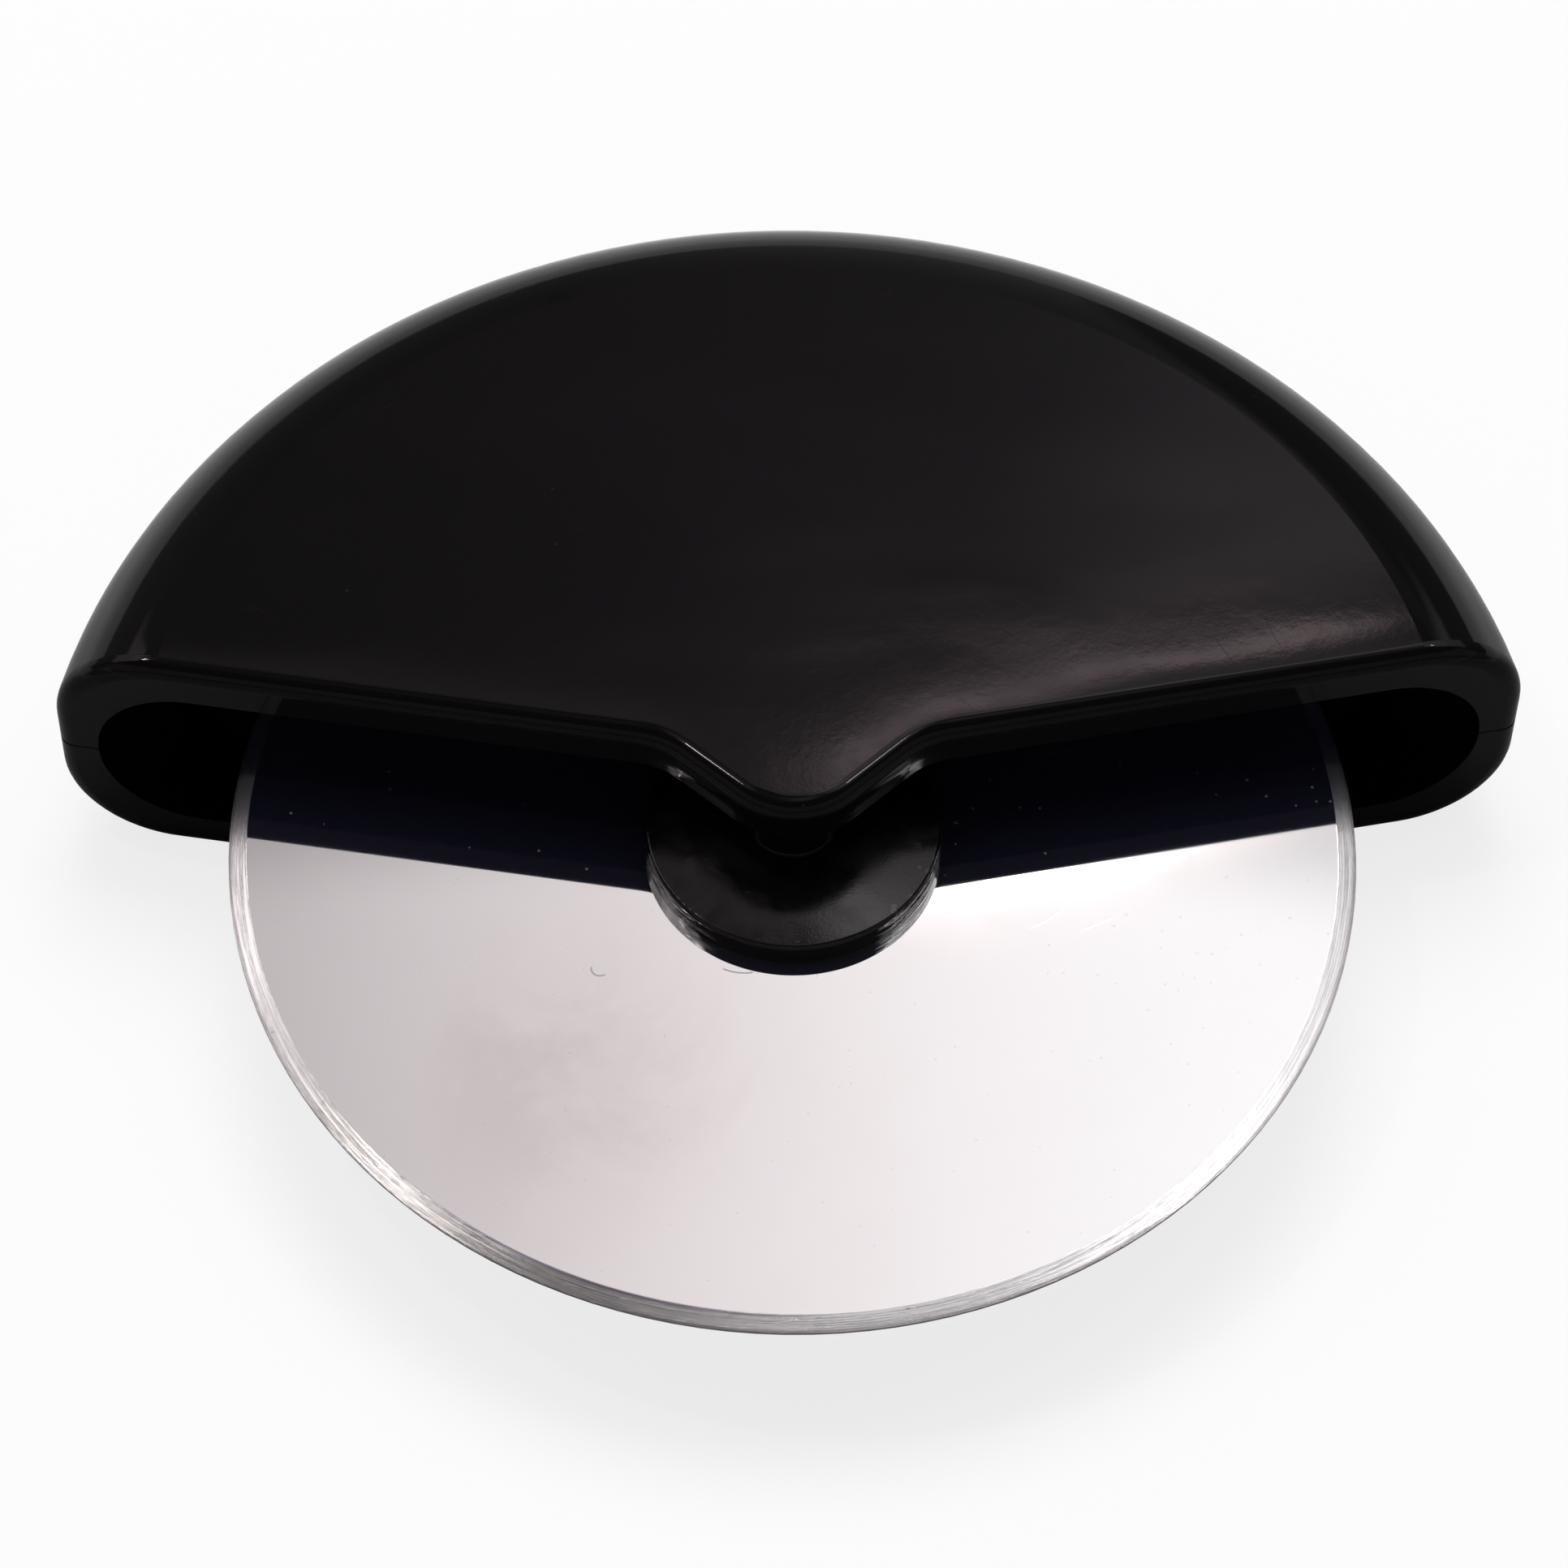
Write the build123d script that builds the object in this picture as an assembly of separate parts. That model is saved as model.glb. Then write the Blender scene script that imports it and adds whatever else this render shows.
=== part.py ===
from build123d import *
import os
from math import asin, cos, degrees, hypot, radians, sin, tan

# Palm-grip pizza cutter wheel, in millimetres.
# Two moulded half shells close over the upper half of a stainless disc. The disc turns with its two hub
# discs on a steel pin, and the pin stands in the tongues that hang from the middle of the shells.
# The cutter lies on the flat face of its rear shell: X runs along its width, Y from the axle towards the
# top of the grip, and Z up through its thickness. The origin is on that face, straight below the axle.

# Blade: a stamped disc, ground to a bevel on both sides
blade_radius = 45.0
blade_thickness = 1.0
bevel_width = 1.4
edge_thickness = 0.24

# Hub: two discs that clasp the blade, the rear one with a spigot and pegs that pass through it
hub_radius = 11.9
hub_height = 2.1
hub_edge_round = 0.35
spigot_radius = 4.5
spigot_reach = 0.9
peg_radius = 1.2
peg_circle = 8.2
peg_reach = 1.4
peg_count = 4
hole_clearance = 0.1
peg_clearance = 0.02

# Axle: a plain pin in blind bores, with a thin washer at each side of the hub
pin_radius = 2.0
pin_chamfer = 0.3
pin_end_gap = 0.2
pin_seat_clearance = 0.01
pin_running_clearance = 0.05
washer_radius = 3.5
washer_thickness = 0.5
washer_chamfer = 0.1
hub_end_play = 0.15

# Grip: the outline that both shells share
grip_thickness = 24.0
grip_margin = 15.6
dome_drop = 2.0
lip_angle = 10.0
tongue_tip_drop = 5.2
tongue_tip_radius = 7.0
tongue_flank_angle = 42.0
tongue_shoulder_radius = 6.5

# Grip: roundings and walls
dome_round = 9.0
lip_round = 1.4
slot_end_flat = 0.2
rim_wall = 3.5
lip_wall = 3.9
face_wall = 3.0
lip_rib_width = 4.5
pocket_corner_round = 2.5
pocket_floor_round = 0.6
seam_chamfer = 0.15

# Seam: a ridge on the front shell that sits in a groove of the rear shell
ridge_width = 1.0
ridge_height = 0.8
ridge_clearance = 0.1
ridge_end_gap = 5.0

# Tongue boss: it carries the pin and bears on the washer
boss_radius = 3.6
boss_root_flare = 0.8
boss_edge_chamfer = 0.2
tongue_skin = 2.0

# Shell screws: driven from the rear face into posts of the front shell
screw_bite = 6.2
screw_radius = 1.3
screw_point = 2.0
screw_head_radius = 2.4
screw_head_height = 1.6
screw_head_round = 0.7
screw_head_sink = 0.6
screw_recess_width = 0.7
screw_recess_span = 2.8
screw_recess_depth = 1.0
screw_hole_clearance = 0.15
screw_thread_clearance = 0.02
screw_head_clearance = 0.3
post_wall = 1.5
post_blade_gap = 1.6
side_post_angle = 24.0
pilot_spare = 1.0

# Cuts run past the faces that they leave by this much
overrun = 1.0

# Places that follow from the sizes above
seam_height = grip_thickness / 2
blade_side = blade_thickness / 2
hub_face = blade_side + hub_height
washer_bottom = hub_face + hub_end_play
boss_end = washer_bottom + washer_thickness
slot_half = seam_height - lip_wall
slot_end_round = slot_half - slot_end_flat
slot_foot = -tongue_tip_drop - overrun
pocket_ceiling = seam_height - face_wall
pin_bore_end = seam_height - tongue_skin
screw_seat = seam_height - screw_head_sink - screw_head_height
post_radius = screw_radius + screw_hole_clearance + post_wall
post_reach = blade_radius + post_blade_gap + post_radius
dome_radius = blade_radius + grip_margin
dome_centre = Vector(0, -dome_drop)

# A face counts as upright while the Z share of its normal is below this
upright_share = 0.01

# Round solids stand on the height that they are placed at
standing = (Align.CENTER, Align.CENTER, Align.MIN)


def polar(radius, angle):
    """A vector at a distance and an angle in degrees from the axle."""
    return Vector(radius * cos(radians(angle)), radius * sin(radians(angle)))


def cylinder(radius, bottom, top):
    """A cylinder about the axle between two heights."""
    return Pos(0, 0, bottom) * Cylinder(radius, top - bottom, align=standing)


def turned(points):
    """A solid turned about the axle from points of radius and height."""
    profile = Polyline(*[(radius, 0, height) for radius, height in points], close=True)
    return revolve(make_face(profile), Axis.Z)


def slot_end_angle():
    """Angle about the dome's centre at which the lip line, which starts at the axle, meets the dome."""
    return lip_angle + degrees(asin(dome_drop * cos(radians(lip_angle)) / dome_radius))


def dome_line(inset):
    """Right half of the dome's arc, moved inwards, from the slot's end up to the top."""
    start = slot_end_angle()
    return CenterArc(dome_centre, dome_radius - inset, start, 90 - start)


def both_sides(lines):
    """The face inside a right-hand outline and its mirror image."""
    right = Curve() + lines
    return make_face(right + mirror(right, about=Plane.YZ))


def grip_outline():
    """Outline of a shell: tongue tip, flanks, shoulders and lip lines under the dome."""
    turn = tongue_flank_angle - lip_angle
    flank_way = polar(1, tongue_flank_angle)
    lip_way = polar(1, lip_angle)
    dome = dome_line(0)
    tip = JernArc((0, -tongue_tip_drop), (1, 0), tongue_tip_radius, tongue_flank_angle)
    tip_end = tip @ 1
    across = flank_way.Y * tip_end.X - flank_way.X * tip_end.Y
    corner = lip_way * (across / (flank_way.Y * lip_way.X - flank_way.X * lip_way.Y))
    reach = tongue_shoulder_radius * tan(radians(turn / 2))
    flank = Line(tip_end, corner - flank_way * reach)
    shoulder = JernArc(flank @ 1, flank_way, tongue_shoulder_radius, -turn)
    lip = Line(shoulder @ 1, dome @ 0)
    return both_sides([tip, flank, shoulder, lip, dome])


def open_outline(inset):
    """The dome's arc, moved inwards and carried straight down to below the tongue."""
    dome = dome_line(inset)
    end = dome @ 0
    base = Line((0, slot_foot), (end.X, slot_foot))
    return both_sides([base, Line(base @ 1, end), dome])


def above_lips(gap):
    """Everything above two lines that run along the lips at a distance, out past the dome."""
    rise = gap / cos(radians(lip_angle))
    far = 2 * dome_radius
    side = rise + far * tan(radians(lip_angle))
    corners = [(0, rise), (far, side), (far, side + far), (-far, side + far), (-far, side)]
    return make_face(Polyline(*corners, close=True))


def is_lip_face(face):
    """Whether a face is one of the upright ones that run along the slot and round the tongue."""
    middle = face.center()
    from_dome = hypot(middle.X, middle.Y + dome_drop)
    return abs(face.normal_at(middle).Z) < upright_share and from_dome < dome_radius - rim_wall


def lip_edges(body):
    """The chain of edges round the lips, from the seam at one end to the seam at the other."""
    edges = [edge for face in body.faces() if is_lip_face(face) for edge in face.edges()]
    seam = body.faces().sort_by(Axis.Z)[0].edges()
    outer = [edge for edge in edges if sum(edge.is_same(other) for other in edges) == 1]
    return [edge for edge in outer if not any(edge.is_same(other) for other in seam)]


def shell_block():
    """The outside of a half shell as a solid, with its seam at Z zero and its face upwards."""
    block = extrude(grip_outline(), seam_height)
    face_edges = block.faces().sort_by(Axis.Z)[-1].edges()
    dome_edges = face_edges.filter_by(GeomType.CIRCLE).group_by(SortBy.RADIUS)[-1]
    block = fillet(dome_edges, dome_round)
    block = fillet(lip_edges(block), lip_round)
    return chamfer(block.faces().sort_by(Axis.Z)[0].edges(), seam_chamfer)


def cavity():
    """Room for the blade: a dish with a rounded rim that runs out through the slot."""
    opening = open_outline(rim_wall)
    dish = extrude(opening, slot_half)
    ceiling = dish.faces().sort_by(Axis.Z)[-1].edges()
    dish = fillet([edge for edge in ceiling if edge.center().Y > slot_foot], slot_end_round)
    return dish + extrude(opening, -overrun)


def pocket():
    """A deeper floor inside the cavity, which leaves the face one wall thick and a rib along the lips."""
    region = open_outline(rim_wall + slot_end_round) & above_lips(lip_rib_width)
    corners = sorted(region.vertices(), key=lambda point: abs(point.X))[-2:]
    region = fillet(corners, pocket_corner_round)
    block = Pos(0, 0, slot_half - overrun) * extrude(region, overrun + pocket_ceiling - slot_half)
    return fillet(block.faces().sort_by(Axis.Z)[-1].edges(), pocket_floor_round)


def tongue_boss():
    """Round boss under the tongue, up to the washer, with a soft root."""
    boss = cylinder(boss_radius, boss_end, slot_half)
    boss = chamfer(boss.edges().sort_by(Axis.Z)[0], boss_edge_chamfer)
    root = turned([
        (boss_radius, slot_half - boss_root_flare),
        (boss_radius + boss_root_flare, slot_half),
        (0, slot_half),
        (0, slot_half - boss_root_flare),
    ])
    return boss + root


def at_screws(tool):
    """Copies of a tool at the three screws."""
    return [Pos(place.X, place.Y) * tool for place in screw_places().values()]


def screw_places():
    """One screw beside each end of the slot, and one at the top of the grip."""
    return {
        "left_shell_screw": polar(post_reach, 180 - side_post_angle),
        "right_shell_screw": polar(post_reach, side_post_angle),
        "top_shell_screw": polar(post_reach, 90),
    }


def half_shell():
    """What the two shells have in common: walls, rib, screw posts and the boss for the pin."""
    shell = shell_block() - cavity() - pocket()
    shell += at_screws(cylinder(post_radius, 0, pocket_ceiling))
    shell += tongue_boss()
    return shell - cylinder(pin_radius + pin_seat_clearance, boss_end - overrun, pin_bore_end)


def seam_band(width, height):
    """A strip along the middle of the rim wall, from the seam downwards, that stops short of the slot."""
    strip = open_outline((rim_wall - width) / 2) - open_outline((rim_wall + width) / 2)
    strip &= above_lips(ridge_end_gap)
    return Pos(0, 0, -height) * extrude(strip, height + ridge_height)


def front_shell():
    """Half shell with the locating ridge and blind pilot holes for the screws."""
    pilot = cylinder(screw_radius + screw_thread_clearance, -overrun, screw_bite + pilot_spare)
    shell = half_shell() + seam_band(ridge_width, ridge_height) - at_screws(pilot)
    return Pos(0, 0, seam_height) * shell


def rear_shell():
    """Half shell with the groove, screw holes and sunk seats for the screw heads."""
    hole = cylinder(screw_radius + screw_hole_clearance, -overrun, seam_height + overrun)
    seat = cylinder(screw_head_radius + screw_head_clearance, screw_seat, seam_height + overrun)
    groove_width = ridge_width + 2 * ridge_clearance
    groove = mirror(seam_band(groove_width, ridge_height + ridge_clearance), about=Plane.XY)
    shell = half_shell() - groove - at_screws(hole) - at_screws(seat)
    return Pos(0, 0, seam_height) * mirror(shell, about=Plane.XY)


def at_pegs(tool):
    """Copies of a tool at the hub pegs."""
    return PolarLocations(peg_circle, peg_count) * tool


def blade():
    """The disc with its bevels, its centre hole and the holes for the hub pegs."""
    disc = turned([
        (spigot_radius + hole_clearance, -blade_side),
        (blade_radius - bevel_width, -blade_side),
        (blade_radius, -edge_thickness / 2),
        (blade_radius, edge_thickness / 2),
        (blade_radius - bevel_width, blade_side),
        (spigot_radius + hole_clearance, blade_side),
    ])
    return disc - at_pegs(cylinder(peg_radius + hole_clearance, -blade_thickness, blade_thickness))


def hub_disc():
    """A flat hub disc over the blade, with a rounded edge."""
    disc = cylinder(hub_radius, blade_side, hub_face)
    return fillet(disc.edges().sort_by(Axis.Z)[-1], hub_edge_round)


def hub_bore():
    """The hole that the hub turns on the pin with."""
    return cylinder(pin_radius + pin_running_clearance, -seam_height, seam_height)


def front_hub_disc():
    """Hub disc with sockets for the spigot and the pegs."""
    socket = cylinder(spigot_radius + hole_clearance, 0, blade_side + spigot_reach + hole_clearance)
    peg_socket = cylinder(peg_radius + peg_clearance, 0, blade_side + peg_reach + hole_clearance)
    return hub_disc() - socket - at_pegs(peg_socket) - hub_bore()


def rear_hub_disc():
    """Hub disc with the spigot and the pegs that pass through the blade."""
    spigot = cylinder(spigot_radius, -blade_side, blade_side + spigot_reach)
    peg = cylinder(peg_radius, -blade_side, blade_side + peg_reach)
    return mirror(hub_disc(), about=Plane.XY) + spigot + at_pegs(peg) - hub_bore()


def axle_pin():
    """Plain steel pin with chamfered ends, held between the two tongues."""
    half_length = pin_bore_end - pin_end_gap
    pin = cylinder(pin_radius, -half_length, half_length)
    return chamfer(pin.edges().filter_by(GeomType.CIRCLE), pin_chamfer)


def thrust_washer():
    """Thin washer between the hub and a tongue boss."""
    washer = cylinder(washer_radius, washer_bottom, boss_end)
    washer = chamfer(washer.edges().filter_by(GeomType.CIRCLE), washer_chamfer)
    return washer - cylinder(pin_radius + pin_running_clearance, 0, seam_height)


def shell_screw():
    """Self-tapping screw with a rounded head and a cross recess, driven upwards from the rear face."""
    head_top = screw_seat + screw_head_height
    head = cylinder(screw_head_radius, screw_seat, head_top)
    head = fillet(head.edges().sort_by(Axis.Z)[-1], screw_head_round)
    shank = cylinder(screw_radius, screw_point - screw_bite, screw_seat)
    point = Pos(0, 0, -screw_bite) * Cone(0, screw_radius, screw_point, align=standing)
    slot = Box(screw_recess_span, screw_recess_width, 2 * screw_recess_depth)
    recess = Pos(0, 0, head_top) * (slot + Rot(0, 0, 90) * slot)
    return mirror(head + shank + point - recess, about=Plane.XY)


def parts():
    """Every piece in its place, by name."""
    axle_place = Pos(0, 0, seam_height)
    pieces = {
        "front_shell": front_shell(),
        "rear_shell": rear_shell(),
        "blade": axle_place * blade(),
        "front_hub_disc": axle_place * front_hub_disc(),
        "rear_hub_disc": axle_place * rear_hub_disc(),
        "axle_pin": axle_place * axle_pin(),
        "front_thrust_washer": axle_place * thrust_washer(),
        "rear_thrust_washer": axle_place * mirror(thrust_washer(), about=Plane.XY),
    }
    for name, place in screw_places().items():
        pieces[name] = Pos(place.X, place.Y, seam_height) * shell_screw()
    return pieces


os.makedirs("parts", exist_ok=True)
for name, piece in parts().items():
    export_step(piece, f"parts/{name}.step")
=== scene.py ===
from math import radians

import bmesh
import bpy
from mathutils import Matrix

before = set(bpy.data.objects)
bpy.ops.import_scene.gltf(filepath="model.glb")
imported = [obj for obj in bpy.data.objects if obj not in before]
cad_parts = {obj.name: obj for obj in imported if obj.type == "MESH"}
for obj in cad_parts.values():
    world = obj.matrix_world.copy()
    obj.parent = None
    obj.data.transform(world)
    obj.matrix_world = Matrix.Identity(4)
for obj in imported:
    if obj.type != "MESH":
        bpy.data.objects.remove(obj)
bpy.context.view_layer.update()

# Rear shell: the half of the grip that the cutter lies on.
# It is moulded in glossy black ABS, with three sunk screws, the groove of the seam and half of the blade's slot.
# Its surface carries the mould's faint waves, hairlines from handling, a little dust and a pale line where the
# lips' rounding ends, partly the parting line and partly a painted highlight.
PLASTIC_BLACK = (0.0028, 0.0026, 0.003, 1.0)
PLASTIC_DUST_AND_HIGHLIGHT = (0.32, 0.3, 0.31, 1.0)
PLASTIC_TINT = (1.0, 0.89, 0.95, 1.0)
PLASTIC_SHINE = 0.15
MIDDLE = 12.0
SLOT_MOUTH = 8.1
LIP_SLOPE = 0.176
TONGUE_SLOPE = 0.9
TONGUE_POINT = -7.6
TONGUE_TIP = -5.2
ROLL_START = 1.4
ROLL_RATE = -0.42
ROLL_OF_TONGUE = -0.022
ROLL_OF_LIPS = -0.055
MOUTH_START = 1.4
MOUTH_SLOPE = -0.15
PARTING_HIGHLIGHT_HEIGHT = 2.5
HEIGHT_UNIT = 0.001


def put(tree, value, socket):
    """Links a socket's value into another, or sets the plain value."""
    if isinstance(value, bpy.types.NodeSocket):
        tree.links.new(value, socket)
    else:
        socket.default_value = value


def add(tree, kind, inputs=(), **settings):
    """A node with its settings and its inputs, which are given by name or number."""
    made = tree.nodes.new(kind)
    for name, value in settings.items():
        setattr(made, name, value)
    for name, value in dict(inputs).items():
        put(tree, value, made.inputs[name])
    return made


def maths(tree, operation, *values):
    """The result of a Math node."""
    return add(tree, "ShaderNodeMath", enumerate(values), operation=operation).outputs[0]


def off_from(tree, value, centre):
    """How far a value lies from a centre, either way."""
    return maths(tree, "ABSOLUTE", maths(tree, "SUBTRACT", value, centre))


def ramp(tree, value, low, high, bottom=0.0, top=1.0):
    """A value taken smoothly from bottom to top while it goes from low to high."""
    inputs = {"Value": value, "From Min": low, "From Max": high, "To Min": bottom, "To Max": top}
    return add(tree, "ShaderNodeMapRange", inputs, interpolation_type="SMOOTHSTEP").outputs["Result"]


def blend_colour(tree, share, low, high):
    """One colour laid over another by a share."""
    inputs = {"Factor": share, "A": low, "B": high}
    mix = tree.nodes.new("ShaderNodeMix")
    mix.data_type = "RGBA"
    for name, value in inputs.items():
        sockets = [socket for socket in mix.inputs if socket.name == name and socket.enabled]
        put(tree, value, sockets[0])
    return [socket for socket in mix.outputs if socket.enabled][0]


def axes(tree, place):
    """The three coordinates of a place, by name."""
    return add(tree, "ShaderNodeSeparateXYZ", {0: place}).outputs


def joined(tree, first, second):
    """A flat place made of two coordinates."""
    return add(tree, "ShaderNodeCombineXYZ", {"X": first, "Y": second}).outputs[0]


def level_of(tree, place):
    """A place seen along the axle."""
    apart = axes(tree, place)
    return joined(tree, apart["X"], apart["Y"])


def radius_of(tree, level):
    """How far a flat place lies from the axle."""
    return add(tree, "ShaderNodeVectorMath", {0: level}, operation="LENGTH").outputs["Value"]


def stretched(tree, place, factors):
    """A place with each coordinate times its own factor."""
    return add(tree, "ShaderNodeVectorMath", {0: place, 1: factors}, operation="MULTIPLY").outputs[0]


def noise(tree, place, scale, detail, roughness=0.5):
    """A soft cloudy pattern from 0 to 1."""
    inputs = {"Vector": place, "Scale": scale, "Detail": detail, "Roughness": roughness}
    return add(tree, "ShaderNodeTexNoise", inputs).outputs["Fac"]


def new_finish(name):
    """A new material, its node tree, the piece's own coordinates in millimetres and its shader's inputs."""
    finish = bpy.data.materials.new(name)
    finish.use_nodes = True
    tree = finish.node_tree
    metres = add(tree, "ShaderNodeTexCoord").outputs["Object"]
    place = add(tree, "ShaderNodeVectorMath", {0: metres, "Scale": 1000.0}, operation="SCALE").outputs["Vector"]
    return finish, tree, place, tree.nodes["Principled BSDF"].inputs


def relief(tree, height):
    """The normal of a surface with a height in millimetres."""
    inputs = {"Height": height, "Distance": HEIGHT_UNIT, "Strength": 1.0}
    return add(tree, "ShaderNodeBump", inputs).outputs["Normal"]


def effect(name, inputs, outputs):
    """An empty shader node group with named values in and out."""
    group = bpy.data.node_groups.new(name, "ShaderNodeTree")
    for label, kind, value in inputs:
        socket = group.interface.new_socket(label, in_out="INPUT", socket_type=kind)
        if value is not None:
            socket.default_value = value
    for label, kind in outputs:
        group.interface.new_socket(label, in_out="OUTPUT", socket_type=kind)
    return group, group.nodes.new("NodeGroupInput").outputs, group.nodes.new("NodeGroupOutput").inputs


def mask(tree, group, place, **values):
    """The mask of an effect that is placed in a material with its own values."""
    return add(tree, "ShaderNodeGroup", {"Place": place, **values}, node_tree=group).outputs["Mask"]


def hairlines_effect():
    """Short thin scratches that lie roughly one way, as a mask."""
    inputs = [
        ("Place", "NodeSocketVector", None),
        ("Angle", "NodeSocketFloat", 0.0),
        ("Length", "NodeSocketFloat", 40.0),
        ("Spacing", "NodeSocketFloat", 1.0),
        ("Amount", "NodeSocketFloat", 0.5),
    ]
    tree, given, result = effect("hairlines", inputs, [("Mask", "NodeSocketFloat")])
    wander = noise(tree, given["Place"], 0.05, 1.0)
    bent = maths(tree, "MULTIPLY_ADD", wander, 0.9, given["Angle"])
    turning = {"Vector": given["Place"], "Angle": bent}
    turned = add(tree, "ShaderNodeVectorRotate", turning, rotation_type="Z_AXIS").outputs[0]
    apart = axes(tree, turned)
    along = maths(tree, "DIVIDE", apart["X"], given["Length"])
    across = maths(tree, "DIVIDE", apart["Y"], given["Spacing"])
    grid = {"Vector": joined(tree, along, across), "Scale": 1.0}
    cells = add(tree, "ShaderNodeTexVoronoi", grid, voronoi_dimensions="2D").outputs
    chance = add(tree, "ShaderNodeSeparateColor", {0: cells["Color"]}).outputs
    chosen = maths(tree, "LESS_THAN", chance["Red"], given["Amount"])
    line = ramp(tree, cells["Distance"], 0.01, 0.045, 1.0, 0.0)
    strength = maths(tree, "MULTIPLY", chosen, chance["Green"])
    put(tree, maths(tree, "MULTIPLY", line, strength), result["Mask"])
    return tree


def specks_effect():
    """Scattered specks of dust or small marks of uneven size, as a mask."""
    inputs = [
        ("Place", "NodeSocketVector", None),
        ("Spacing", "NodeSocketFloat", 2.0),
        ("Size", "NodeSocketFloat", 0.08),
        ("Amount", "NodeSocketFloat", 0.4),
    ]
    tree, given, result = effect("specks", inputs, [("Mask", "NodeSocketFloat")])
    density = maths(tree, "DIVIDE", 1.0, given["Spacing"])
    cells = add(tree, "ShaderNodeTexVoronoi", {"Vector": given["Place"], "Scale": density}).outputs
    chance = add(tree, "ShaderNodeSeparateColor", {0: cells["Color"]}).outputs
    chosen = maths(tree, "LESS_THAN", chance["Red"], given["Amount"])
    uneven = maths(tree, "MULTIPLY", maths(tree, "DIVIDE", given["Size"], given["Spacing"]), chance["Blue"])
    dot = maths(tree, "LESS_THAN", cells["Distance"], uneven)
    put(tree, maths(tree, "MULTIPLY", dot, chosen), result["Mask"])
    return tree


def smudges_effect():
    """Soft patches left by fingers and wiping, as a mask from 0 to 1."""
    inputs = [
        ("Place", "NodeSocketVector", None),
        ("Size", "NodeSocketFloat", 20.0),
        ("Stretch", "NodeSocketVector", (1.0, 1.0, 1.0)),
    ]
    tree, given, result = effect("smudges", inputs, [("Mask", "NodeSocketFloat")])
    spread = stretched(tree, given["Place"], given["Stretch"])
    density = maths(tree, "DIVIDE", 1.0, given["Size"])
    cloud = {"Vector": spread, "Scale": density, "Detail": 5.0, "Roughness": 0.62, "Distortion": 0.5}
    put(tree, ramp(tree, add(tree, "ShaderNodeTexNoise", cloud).outputs["Fac"], 0.38, 0.68), result["Mask"])
    return tree


hairlines = hairlines_effect()
specks = specks_effect()
smudges = smudges_effect()


def inside_outline(tree, place):
    """How far a point of a shell lies behind the lips and the tongue's outline, in millimetres."""
    apart = axes(tree, place)
    aside = maths(tree, "ABSOLUTE", apart["X"])
    lip = maths(tree, "MULTIPLY", aside, LIP_SLOPE)
    flank = maths(tree, "MULTIPLY_ADD", aside, TONGUE_SLOPE, TONGUE_POINT)
    tongue = maths(tree, "SMOOTH_MAX", flank, TONGUE_TIP, 1.5)
    return maths(tree, "SUBTRACT", apart["Y"], maths(tree, "SMOOTH_MIN", lip, tongue, 2.5))


def edge_roll(tree, place):
    """Height of a shell's face, which rolls off by hundredths of a millimetre at the lips and the tongue."""
    inside = maths(tree, "MAXIMUM", maths(tree, "SUBTRACT", inside_outline(tree, place), ROLL_START), 0.0)
    fall = maths(tree, "EXPONENT", maths(tree, "MULTIPLY", inside, ROLL_RATE))
    amount = ramp(tree, axes(tree, place)["Y"], -6.0, 6.0, ROLL_OF_TONGUE, ROLL_OF_LIPS)
    return maths(tree, "MULTIPLY", fall, amount)


def over_slot(tree, place):
    """How far a point of a shell lies above the mouth of the blade's slot, in millimetres."""
    return maths(tree, "SUBTRACT", off_from(tree, axes(tree, place)["Z"], MIDDLE), SLOT_MOUTH)


def mouth_round(tree, place):
    """Height of the tongue's flanks, which round off in their last millimetre over the slot, with streaks."""
    radius = radius_of(tree, level_of(tree, place))
    above = over_slot(tree, place)
    fall = maths(tree, "SMOOTH_MAX", maths(tree, "SUBTRACT", MOUTH_START, above), 0.0, 0.4)
    streaks = noise(tree, stretched(tree, place, (0.4, 0.4, 4.0)), 1.0, 1.0)
    height = maths(tree, "MULTIPLY_ADD", streaks, 0.018, maths(tree, "MULTIPLY", fall, MOUTH_SLOPE))
    flank = maths(tree, "MULTIPLY", ramp(tree, radius, 4.5, 6.0), ramp(tree, radius, 10.0, 13.0, 1.0, 0.0))
    near = maths(tree, "MULTIPLY", flank, ramp(tree, above, 2.4, 3.2, 1.0, 0.0))
    return maths(tree, "MULTIPLY", height, near)


def parting_line_highlight(tree, place):
    """A mask of the mould's parting line and of a painted highlight line: it follows the lips and the tongue
    where their rounding ends.
    """
    line = ramp(tree, off_from(tree, over_slot(tree, place), PARTING_HIGHLIGHT_HEIGHT), 0.03, 0.12, 1.0, 0.0)
    return maths(tree, "MULTIPLY", line, maths(tree, "LESS_THAN", inside_outline(tree, place), 0.6))


shell_plastic, tree, place, shader = new_finish("gloss_black_abs")
wiped = mask(tree, smudges, place, Size=26.0, Stretch=(0.5, 1.3, 1.0))
fine_lines = mask(tree, hairlines, place, Angle=0.3, Length=55.0, Spacing=0.9, Amount=0.35)
cross_lines = mask(tree, hairlines, place, Angle=2.1, Length=38.0, Spacing=1.1, Amount=0.2)
lines = maths(tree, "MAXIMUM", fine_lines, cross_lines)
dust = mask(tree, specks, place, Spacing=2.4, Size=0.14, Amount=0.35)
wave = noise(tree, stretched(tree, place, (0.6, 1.2, 1.0)), 0.06, 1.0, 0.4)
grain = noise(tree, place, 2.2, 3.0)
mottle = noise(tree, place, 0.4, 4.0, 0.65)
rough = maths(tree, "MULTIPLY_ADD", wiped, 0.05, 0.07)
rough = maths(tree, "MULTIPLY_ADD", lines, 0.2, rough)
height = maths(tree, "ADD", edge_roll(tree, place), mouth_round(tree, place))
for pattern, amount in ((wave, 0.09), (grain, 0.0005), (mottle, 0.0045), (lines, -0.0012)):
    height = maths(tree, "MULTIPLY_ADD", pattern, amount, height)
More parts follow.
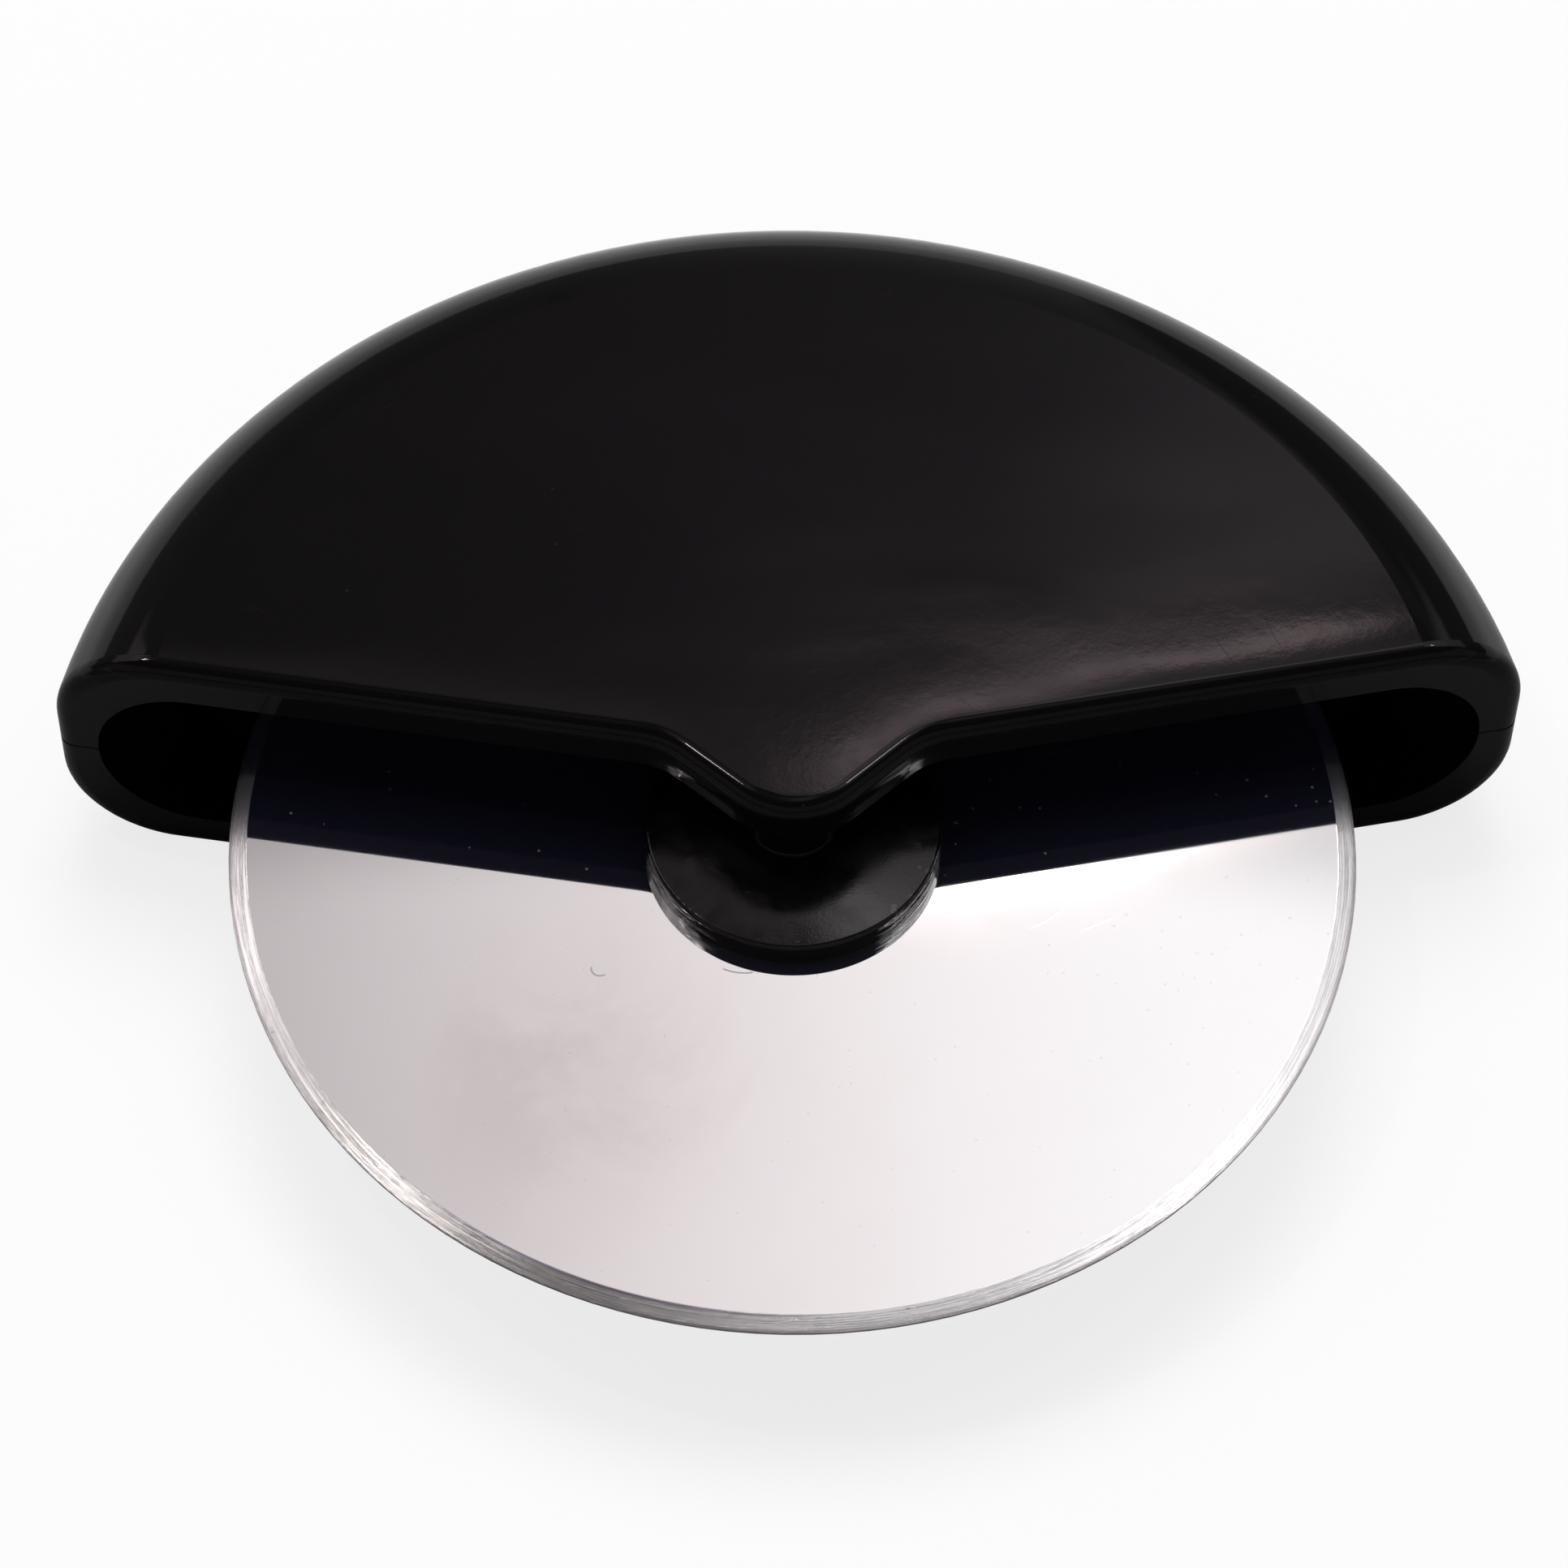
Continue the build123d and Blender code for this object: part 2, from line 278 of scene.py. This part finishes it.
# Painted highlight: a pale line along the parting line where the lips' rounding ends; the dust specks are real.
painted_highlight_line = maths(tree, "MULTIPLY", parting_line_highlight(tree, place), 0.012)
dust_and_painted_highlight = maths(tree, "MAXIMUM", maths(tree, "MULTIPLY", dust, 0.025), painted_highlight_line)
shader["Specular IOR Level"].default_value = PLASTIC_SHINE
shader["Specular Tint"].default_value = PLASTIC_TINT
put(tree, blend_colour(tree, dust_and_painted_highlight, PLASTIC_BLACK, PLASTIC_DUST_AND_HIGHLIGHT), shader["Base Color"])
put(tree, rough, shader["Roughness"])
put(tree, relief(tree, height), shader["Normal"])
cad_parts["rear_shell"].material_slots[0].material = shell_plastic

# Axle pin: a plain ground steel pin.
# It stands in blind bores in the two tongues and never turns.
PIN_DARK = (0.52, 0.52, 0.54, 1.0)
PIN_LIGHT = (0.66, 0.65, 0.66, 1.0)
pin_steel, tree, place, shader = new_finish("ground_pin_steel")
grinding = noise(tree, stretched(tree, place, (0.3, 0.3, 9.0)), 1.0, 3.0)
shader["Metallic"].default_value = 1.0
put(tree, blend_colour(tree, grinding, PIN_DARK, PIN_LIGHT), shader["Base Color"])
put(tree, ramp(tree, grinding, 0.3, 0.7, 0.2, 0.38), shader["Roughness"])
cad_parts["axle_pin"].material_slots[0].material = pin_steel

# Thrust washers: black acetal, one at each side of the hub.
# They keep the hub discs off the tongue bosses.
ACETAL_DARK = (0.007, 0.007, 0.008, 1.0)
ACETAL_LIGHT = (0.011, 0.011, 0.012, 1.0)
washer_acetal, tree, place, shader = new_finish("black_acetal")
tone = noise(tree, place, 0.8, 3.0)
shader["Specular IOR Level"].default_value = 0.25
put(tree, blend_colour(tree, tone, ACETAL_DARK, ACETAL_LIGHT), shader["Base Color"])
put(tree, ramp(tree, tone, 0.3, 0.7, 0.38, 0.5), shader["Roughness"])
for node in ("front_thrust_washer", "rear_thrust_washer"):
    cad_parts[node].material_slots[0].material = washer_acetal

# Hub discs: satin black mouldings that clasp the blade, the rear one with the spigot and the pegs.
# Their faces are very slightly crowned and scuffed by the fingers.
# The side wall shows streaks from the mould and carries painted shade that makes it a little darker, and the rim
# shows a few small chips.
HUB_BLACK = (0.0022, 0.002, 0.0024, 1.0)
HUB_SCUFFED = (0.006, 0.0054, 0.006, 1.0)
HUB_WALL_SHADE = (0.0015, 0.0014, 0.0017, 1.0)
HUB_CHIPPED = (0.2, 0.19, 0.2, 1.0)
HUB_TINT = (1.0, 0.9, 0.96, 1.0)
HUB_SHINE = 0.36
HUB_CROWN = -0.0055
HUB_EDGE = 11.85
WALL_START = 1.65
WALL_SLOPE = -0.36
hub_plastic, tree, place, shader = new_finish("satin_black_hub")
apart = axes(tree, place)
radius = radius_of(tree, level_of(tree, place))
bearing = maths(tree, "ARCTAN2", apart["Y"], apart["X"])
side_wall = ramp(tree, radius, 11.6, HUB_EDGE)
rings = noise(tree, joined(tree, maths(tree, "MULTIPLY", radius, 7.0), bearing), 1.0, 3.0)
wall = joined(tree, maths(tree, "MULTIPLY", bearing, 3.0), maths(tree, "MULTIPLY", apart["Z"], 2.8))
streaks = ramp(tree, noise(tree, wall, 1.0, 3.0, 0.6), 0.45, 0.65)
scuffs = mask(tree, smudges, place, Size=5.0, Stretch=(1.0, 1.0, 2.0))
chips = mask(tree, specks, place, Spacing=0.7, Size=0.3, Amount=0.3)
rim = maths(tree, "MULTIPLY", ramp(tree, radius, 9.8, 11.3), ramp(tree, radius, 11.75, HUB_EDGE, 1.0, 0.0))
chips = maths(tree, "MULTIPLY", chips, maths(tree, "MULTIPLY", rim, ramp(tree, apart["X"], -3.0, 5.0)))
grain = noise(tree, place, 4.0, 3.0, 0.6)
rough = maths(tree, "MULTIPLY_ADD", scuffs, 0.1, 0.13)
rough = maths(tree, "MULTIPLY_ADD", side_wall, -0.08, rough)
height = maths(tree, "SUBTRACT", off_from(tree, apart["Z"], MIDDLE), WALL_START)
height = maths(tree, "MULTIPLY_ADD", streaks, 0.13, maths(tree, "MULTIPLY", height, WALL_SLOPE))
flanks = ramp(tree, maths(tree, "ABSOLUTE", maths(tree, "COSINE", bearing)), 0.5, 0.8, 0.04, 1.0)
height = maths(tree, "MULTIPLY", height, maths(tree, "MULTIPLY", side_wall, flanks))
crown = maths(tree, "MULTIPLY", radius, radius)
for pattern, amount in ((rings, 0.002), (grain, 0.006), (chips, -0.05), (crown, HUB_CROWN)):
    height = maths(tree, "MULTIPLY_ADD", pattern, amount, height)
wear_and_wall_shade = blend_colour(tree, scuffs, HUB_BLACK, HUB_SCUFFED)
# Painted shade: the side wall is coloured darker than the face.
wear_and_wall_shade = blend_colour(tree, side_wall, wear_and_wall_shade, HUB_WALL_SHADE)
wear_and_wall_shade = blend_colour(tree, maths(tree, "MULTIPLY", chips, 0.12), wear_and_wall_shade, HUB_CHIPPED)
shader["Specular IOR Level"].default_value = HUB_SHINE
shader["Specular Tint"].default_value = HUB_TINT
put(tree, wear_and_wall_shade, shader["Base Color"])
put(tree, rough, shader["Roughness"])
put(tree, relief(tree, height), shader["Normal"])
for node in ("rear_hub_disc", "front_hub_disc"):
    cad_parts[node].material_slots[0].material = hub_plastic

# Blade: a stamped stainless disc, polished on both faces and ground to a bevel.
# The bevel has fine lines round the disc and a few nicks; painted shade darkens the outer edge, the bevel at the
# lower left and a bluish line along its shoulder there.
# The faces have wiping marks, a smudge, two curls of lint and a little dust.
STEEL = (0.9, 0.865, 0.868, 1.0)
STEEL_WIPED = (0.88, 0.84, 0.845, 1.0)
STEEL_TOUCHED = (0.8, 0.735, 0.735, 1.0)
STEEL_GROUND = (0.5, 0.47, 0.46, 1.0)
STEEL_NICKS_AND_EDGE_SHADE = (0.22, 0.18, 0.17, 1.0)
STEEL_BEVEL_SHADE = (0.25, 0.235, 0.225, 1.0)
BEVEL_SHOULDER_SHADE = (0.16, 0.14, 0.2, 1.0)
LINT_GREY = (0.3, 0.28, 0.29, 1.0)
STEEL_HAZE = (0.45, 0.45, 1.0, 1.0)
SMUDGE_CENTRE = (-16.0, -22.0)
BEVEL_START = 43.5
SHOULDER_RADIUS = 43.65
EDGE_START = 44.6
EDGE_END = 44.9
BEVEL_SHADE_BEARING = -2.25
SHOULDER_BEARING = -1.95


def away_from(tree, level, spot):
    """How far a flat place lies from a spot on the blade, in millimetres."""
    inputs = {0: level, 1: (*spot, 0.0)}
    return add(tree, "ShaderNodeVectorMath", inputs, operation="DISTANCE").outputs["Value"]


def curl(tree, level, centre, radius, middle, reach):
    """A curl of lint: the part of a thin ring that lies within reach of its middle, as a mask."""
    ring = ramp(tree, off_from(tree, away_from(tree, level, centre), radius), 0.04, 0.1, 1.0, 0.0)
    near = ramp(tree, away_from(tree, level, middle), reach - 0.2, reach, 1.0, 0.0)
    return maths(tree, "MULTIPLY", ring, near)


blade_steel, tree, place, shader = new_finish("polished_stainless")
apart = axes(tree, place)
level = level_of(tree, place)
radius = radius_of(tree, level)
bearing = maths(tree, "ARCTAN2", apart["Y"], apart["X"])
bevel = ramp(tree, radius, BEVEL_START, SHOULDER_RADIUS)
edge = ramp(tree, radius, EDGE_START, EDGE_END)
grinding = joined(tree, maths(tree, "MULTIPLY", radius, 6.5), maths(tree, "MULTIPLY", bearing, 3.2))
ground = maths(tree, "MULTIPLY", ramp(tree, noise(tree, grinding, 1.0, 4.0, 0.7), 0.42, 0.68), bevel)
rim_place = joined(tree, maths(tree, "MULTIPLY", bearing, 44.0), radius)
nicks = mask(tree, hairlines, rim_place, Angle=0.7, Length=3.0, Spacing=1.6, Amount=0.12)
nicks = maths(tree, "MULTIPLY", nicks, bevel)
patches = mask(tree, smudges, place, Size=34.0, Stretch=(1.0, 1.0, 1.0))
wiping = mask(tree, hairlines, place, Angle=-0.9, Length=60.0, Spacing=0.7, Amount=0.5)
small_curl = curl(tree, level, (-15.4, -12.2), 0.7, (-15.8, -12.8), 0.9)
long_curl = curl(tree, level, (-4.0, -9.0), 3.8, (-4.6, -12.8), 1.3)
lint = maths(tree, "MULTIPLY", maths(tree, "MAXIMUM", small_curl, long_curl), 0.9)
dust = maths(tree, "MULTIPLY", mask(tree, specks, place, Spacing=1.3, Size=0.2, Amount=0.5), 0.12)
marks = maths(tree, "MAXIMUM", lint, dust)
cloud = mask(tree, smudges, place, Size=16.0, Stretch=(1.0, 0.8, 1.0))
cloud = maths(tree, "MULTIPLY_ADD", cloud, 0.7, 0.35)
touched = ramp(tree, away_from(tree, level, SMUDGE_CENTRE), 4.0, 20.0, 1.0, 0.0)
touched = maths(tree, "MULTIPLY", touched, cloud)
bevel_shade = ramp(tree, off_from(tree, bearing, BEVEL_SHADE_BEARING), 0.2, 0.7, 0.9, 0.0)
shoulder_shade = ramp(tree, off_from(tree, radius, SHOULDER_RADIUS), 0.06, 0.2, 0.7, 0.0)
low_left = ramp(tree, off_from(tree, bearing, SHOULDER_BEARING), 0.12, 0.45, 1.0, 0.0)
rough = maths(tree, "MULTIPLY_ADD", patches, 0.015, 0.025)
for pattern, amount in ((touched, 0.06), (wiping, 0.02), (bevel, 0.2)):
    rough = maths(tree, "MULTIPLY_ADD", pattern, amount, rough)
steel = blend_colour(tree, patches, STEEL, STEEL_WIPED)
steel = blend_colour(tree, touched, steel, STEEL_TOUCHED)
steel = blend_colour(tree, maths(tree, "MULTIPLY", ground, 0.5), steel, STEEL_GROUND)
# Painted shade: the outer edge is darkened, together with the real nicks.
nicks_and_edge_shade = maths(tree, "MULTIPLY", maths(tree, "MAXIMUM", nicks, edge), 0.6)
steel = blend_colour(tree, nicks_and_edge_shade, steel, STEEL_NICKS_AND_EDGE_SHADE)
# Painted shade: the bevel is coloured darker towards the lower left.
steel = blend_colour(tree, maths(tree, "MULTIPLY", bevel_shade, bevel), steel, STEEL_BEVEL_SHADE)
# Painted shade: a dark bluish line along the bevel's shoulder at the lower left.
steel = blend_colour(tree, maths(tree, "MULTIPLY", shoulder_shade, low_left), steel, BEVEL_SHOULDER_SHADE)
steel = blend_colour(tree, marks, steel, LINT_GREY)
height = maths(tree, "MULTIPLY", ground, 0.008)
for pattern, amount in ((nicks, -0.02), (wiping, -0.00015)):
    height = maths(tree, "MULTIPLY_ADD", pattern, amount, height)
covered = maths(tree, "MAXIMUM", marks, maths(tree, "MULTIPLY", wiping, 0.015))
shader["Sheen Weight"].default_value = 0.18
shader["Sheen Roughness"].default_value = 0.6
shader["Sheen Tint"].default_value = STEEL_HAZE
put(tree, maths(tree, "SUBTRACT", 1.0, covered), shader["Metallic"])
put(tree, steel, shader["Base Color"])
put(tree, rough, shader["Roughness"])
put(tree, relief(tree, height), shader["Normal"])
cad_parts["blade"].material_slots[0].material = blade_steel

# Front shell: the other half of the grip, from the same plastic as the rear shell.
# It closes over the blade and holds the screws in its posts.
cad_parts["front_shell"].material_slots[0].material = shell_plastic

# Shell screws: plated steel self-tappers, sunk in the rear face.
# Their heads are duller than the blade, and darker deeper in the cross.
PLATING_DARK = (0.4, 0.4, 0.42, 1.0)
PLATING_LIGHT = (0.56, 0.55, 0.56, 1.0)
SCREW_DEEP_DARK = (0.14, 0.135, 0.13, 1.0)
screw_steel, tree, place, shader = new_finish("plated_screw_steel")
mottle = noise(tree, place, 1.8, 4.0)
deeper_dark = maths(tree, "MULTIPLY", ramp(tree, axes(tree, place)["Z"], 0.75, 1.5), 0.6)
plating = blend_colour(tree, mottle, PLATING_DARK, PLATING_LIGHT)
shader["Metallic"].default_value = 1.0
put(tree, blend_colour(tree, deeper_dark, plating, SCREW_DEEP_DARK), shader["Base Color"])
put(tree, ramp(tree, mottle, 0.3, 0.7, 0.26, 0.42), shader["Roughness"])
for node in ("left_shell_screw", "right_shell_screw", "top_shell_screw"):
    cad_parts[node].material_slots[0].material = screw_steel

# Floor and backdrop: a pale studio dish, level under the cutter and curved up all round.
# It is white to the eye and in reflections, and in reflections it carries painted shade: darker close to the
# cutter and towards the camera.
# It keeps a soft shadow of the cutter.
FLOOR_RADIUS = 1.4
RISE_RADIUS = 0.5
RISE_ANGLE = 80
RISE_STEPS = 24
ROUND_STEPS = 96
PALE = (0.86, 0.86, 0.86, 1.0)
SHADED = (0.1, 0.1, 0.1, 1.0)
WHITE = (1.0, 1.0, 1.0, 1.0)
WHITE_SEEN = 0.8
shape = bmesh.new()
profile = [shape.verts.new((0.0, 0.0, 0.0)), shape.verts.new((FLOOR_RADIUS, 0.0, 0.0))]
shape.edges.new(profile)
rise = {"geom": [profile[1]], "cent": (FLOOR_RADIUS, 0.0, RISE_RADIUS), "axis": (0.0, -1.0, 0.0)}
bmesh.ops.spin(shape, **rise, angle=radians(RISE_ANGLE), steps=RISE_STEPS)
whole = {"geom": shape.verts[:] + shape.edges[:], "cent": (0.0, 0.0, 0.0), "axis": (0.0, 0.0, 1.0)}
bmesh.ops.spin(shape, **whole, angle=radians(360), steps=ROUND_STEPS, use_merge=True)
bmesh.ops.remove_doubles(shape, verts=shape.verts[:], dist=1e-5)
bmesh.ops.recalc_face_normals(shape, faces=shape.faces[:])
mesh = bpy.data.meshes.new("studio_dish")
shape.to_mesh(mesh)
shape.free()
mesh.shade_smooth()
dish = bpy.data.objects.new("studio_dish", mesh)
bpy.context.scene.collection.objects.link(dish)
paint = bpy.data.materials.new("pale_studio_paint")
paint.use_nodes = True
tree = paint.node_tree
tree.nodes.remove(tree.nodes["Principled BSDF"])
ray = add(tree, "ShaderNodeLightPath").outputs
mirror = maths(tree, "MAXIMUM", ray["Is Glossy Ray"], ray["Is Transmission Ray"])
spot = axes(tree, add(tree, "ShaderNodeNewGeometry").outputs["Position"])
far = ramp(tree, ray["Ray Length"], 0.03, 0.5, 0.0, 0.72)
far = maths(tree, "MULTIPLY", far, ramp(tree, spot["Y"], -0.4, 0.0, 0.06, 1.0))
seen = maths(tree, "MULTIPLY", ray["Is Camera Ray"], WHITE_SEEN)
seen = maths(tree, "MAXIMUM", seen, maths(tree, "MULTIPLY", mirror, far))
shaded = maths(tree, "MULTIPLY", mirror, ramp(tree, spot["Y"], 0.0, 0.1, 0.8, 0.0))
lit = add(tree, "ShaderNodeBsdfDiffuse", {"Color": blend_colour(tree, shaded, PALE, SHADED)})
white = add(tree, "ShaderNodeEmission", {"Color": WHITE, "Strength": 1.0})
mixed = add(tree, "ShaderNodeMixShader", {0: seen, 1: lit.outputs[0], 2: white.outputs[0]})
put(tree, mixed.outputs[0], tree.nodes["Material Output"].inputs["Surface"])
mesh.materials.append(paint)

# Room light: a broad soft panel high up behind the cutter, which the blade shows from light grey to white.
# Below it a bright strip, a wall and a window give the black plastic its sheen, and a patch lights the hub.
# Two boxes light the bevel's sides, and a light overhead and a low one in front keep the steel light.
PANEL_TINT = (1.0, 0.957, 0.962, 1.0)
PANEL_TINT_RIGHT = (0.985, 1.0, 1.0, 1.0)
STRIP_TINT = (1.0, 0.86, 0.85, 1.0)
PANEL_LIFT = (56.2, 67.0, 2.4)
PANEL_TURN = (-14.0, 75.0, 30.0)
PANEL_FADE = (-20, 14, 0.31, 1.11)
PATCH_LIFT = (64.5, 70.0, 3.0)
PATCH_TURN = (14.0, 28.0, 6.0)
STRIP_LIFT = (55.2, 55.7, 0.4)
STRIP_TURN = (3.8, 10.8, 2.2)
STRIP_FADE = (2, 12, 10.0, 10.5)
BOX_LIFT = (38.0, 71.0, 6.0)
BOX_TURN = (36.0, 80.0, 10.0)
BOX_FADE_UP = (45, 62, 0.85, 1.35)
BOX_FADE_RIGHT = (-30, 30, 1.3, 1.08)
BOX_SHADE_UP = (56, 66, 1.0, 0.35)
BOX_SHADE_RIGHT = (-30, 30)
FIELD_LIFT = (10.0, 54.0, 1.5)
FIELD_FADE = (-9, 5, 0.16, 0.4)
FIELD_END = (12, 16, 1.0, 0.15)
WALL_LIFT = (49.0, 53.4, 0.3)
WALL_FADE = (4, 11, 0.0, 0.72)
WINDOW_LIFT = (52.8, 53.4, 0.4)
WINDOW_TURN = (8.5, 12.0, 2.4)
OVERHEAD_FADE = (72, 84)
FRONT_FADE = (88, 108)
FRONT_LIFT = (6.0, 34.0, 8.0)
LIP_TILT_START = 6.0
LIP_TILT = 0.26
PATCH_GLOW = 1.9
WINDOW_GLOW = 1.3
OVERHEAD_GLOW = 0.85
FRONT_GLOW = 0.28
DIM_GLOW = 0.04
world = bpy.data.worlds.new("studio_room")
bpy.context.scene.world = world
world.use_nodes = True
tree = world.node_tree
way = axes(tree, add(tree, "ShaderNodeTexCoord").outputs["Generated"])
turn = maths(tree, "ARCTAN2", way["X"], way["Y"])
lift = maths(tree, "ARCSINE", way["Z"])
aside = maths(tree, "ABSOLUTE", turn)


def over(value, low, high, bottom=0.0, top=1.0):
    """A value taken smoothly from bottom to top while an angle goes from low to high, in degrees."""
    return ramp(tree, value, radians(low), radians(high), bottom, top)


def between(value, low, high, soft):
    """A share that is 1 while an angle is between two others and falls to 0 over a soft edge outside them."""
    return times(over(value, low - soft, low), over(value, high, high + soft, 1.0, 0.0))


def times(*values):
    """The product of some values."""
    product = values[0]
    for value in values[1:]:
        product = maths(tree, "MULTIPLY", product, value)
    return product


past_start = maths(tree, "MAXIMUM", maths(tree, "SUBTRACT", turn, radians(LIP_TILT_START)), 0.0)
lip_lift = maths(tree, "MULTIPLY_ADD", past_start, LIP_TILT, lift)
sideways = times(over(turn, *PANEL_FADE), between(turn, *PANEL_TURN))
panel = times(between(lift, *PANEL_LIFT), sideways)
patch = times(between(lift, *PATCH_LIFT), between(turn, *PATCH_TURN))
panel = maths(tree, "MULTIPLY_ADD", patch, PATCH_GLOW, panel)
strip = times(between(lip_lift, *STRIP_LIFT), between(turn, *STRIP_TURN), over(turn, *STRIP_FADE))
boxes = times(between(lift, *BOX_LIFT), between(aside, *BOX_TURN), over(lift, *BOX_FADE_UP))
shade = maths(tree, "MAXIMUM", over(lift, *BOX_SHADE_UP), over(turn, *BOX_SHADE_RIGHT))
boxes = times(boxes, over(turn, *BOX_FADE_RIGHT), shade)
field = times(over(turn, *FIELD_FADE), between(lift, *FIELD_LIFT))
wall = times(over(turn, *WALL_FADE), between(lip_lift, *WALL_LIFT))
window = times(between(lip_lift, *WINDOW_LIFT), between(turn, *WINDOW_TURN))
field = maths(tree, "ADD", field, maths(tree, "MULTIPLY_ADD", window, WINDOW_GLOW, wall))
field = times(field, over(turn, *FIELD_END))
glow = maths(tree, "MULTIPLY_ADD", field, ramp(tree, way["Y"], -0.2, 0.4), panel)
glow = maths(tree, "MAXIMUM", boxes, glow)
overhead = times(over(lift, *OVERHEAD_FADE), ramp(tree, way["X"], -0.14, 0.12, 0.2, 1.0))
front = times(over(aside, *FRONT_FADE), between(lift, *FRONT_LIFT))
for light, amount in ((overhead, OVERHEAD_GLOW), (front, FRONT_GLOW)):
    glow = maths(tree, "MULTIPLY_ADD", light, amount, glow)
glow = maths(tree, "ADD", maths(tree, "ADD", glow, DIM_GLOW), strip)
pale = blend_colour(tree, over(turn, -2, 10), PANEL_TINT, PANEL_TINT_RIGHT)
background = tree.nodes["Background"].inputs
put(tree, blend_colour(tree, strip, pale, STRIP_TINT), background["Color"])
put(tree, glow, background["Strength"])

# Side lamps: two small soft boxes, left and right of the cutter.
# They draw the thin bright lines on the corners of the shells, the tongue and the hub.
SIDE_POWERS = ((-1.0, 0.9), (1.0, 0.35))
for side, power in SIDE_POWERS:
    lamp = bpy.data.lights.new("side_lamp", "AREA")
    lamp.shape = "DISK"
    lamp.size = 0.06
    lamp.energy = power
    box = bpy.data.objects.new("side_lamp", lamp)
    bpy.context.scene.collection.objects.link(box)
    box.location = (side * 0.4, 0.15, 0.9)
    box.rotation_euler = (radians(-9), side * radians(24), 0.0)

# Top lamp: a wide sheet overhead, behind the cutter.
# It fills the room and leaves no reflection on the black plastic.
lamp = bpy.data.lights.new("top_lamp", "AREA")
lamp.shape = "DISK"
lamp.size = 0.8
lamp.energy = 11.5
sheet = bpy.data.objects.new("top_lamp", lamp)
bpy.context.scene.collection.objects.link(sheet)
sheet.location = (0.0, 0.6, 1.2)
sheet.rotation_euler = (radians(-27), 0.0, 0.0)
sheet.visible_glossy = False

# Camera: in front of the cutter and above it, with a long lens.
# Its place, its turn and its lens were fitted to the outlines of the blade and the hub.
view = bpy.data.cameras.new("camera")
view.lens = 129.24
view.sensor_width = 36.0
view.clip_start = 0.02
view.shift_x = 0.0026
camera = bpy.data.objects.new("camera", view)
bpy.context.scene.collection.objects.link(camera)
camera.location = (-0.008691, -0.254065, 0.383346)
camera.rotation_euler = (radians(34.9757), radians(-0.4263), radians(-1.1064))
bpy.context.scene.camera = camera
bpy.context.scene.view_settings.view_transform = "Standard"
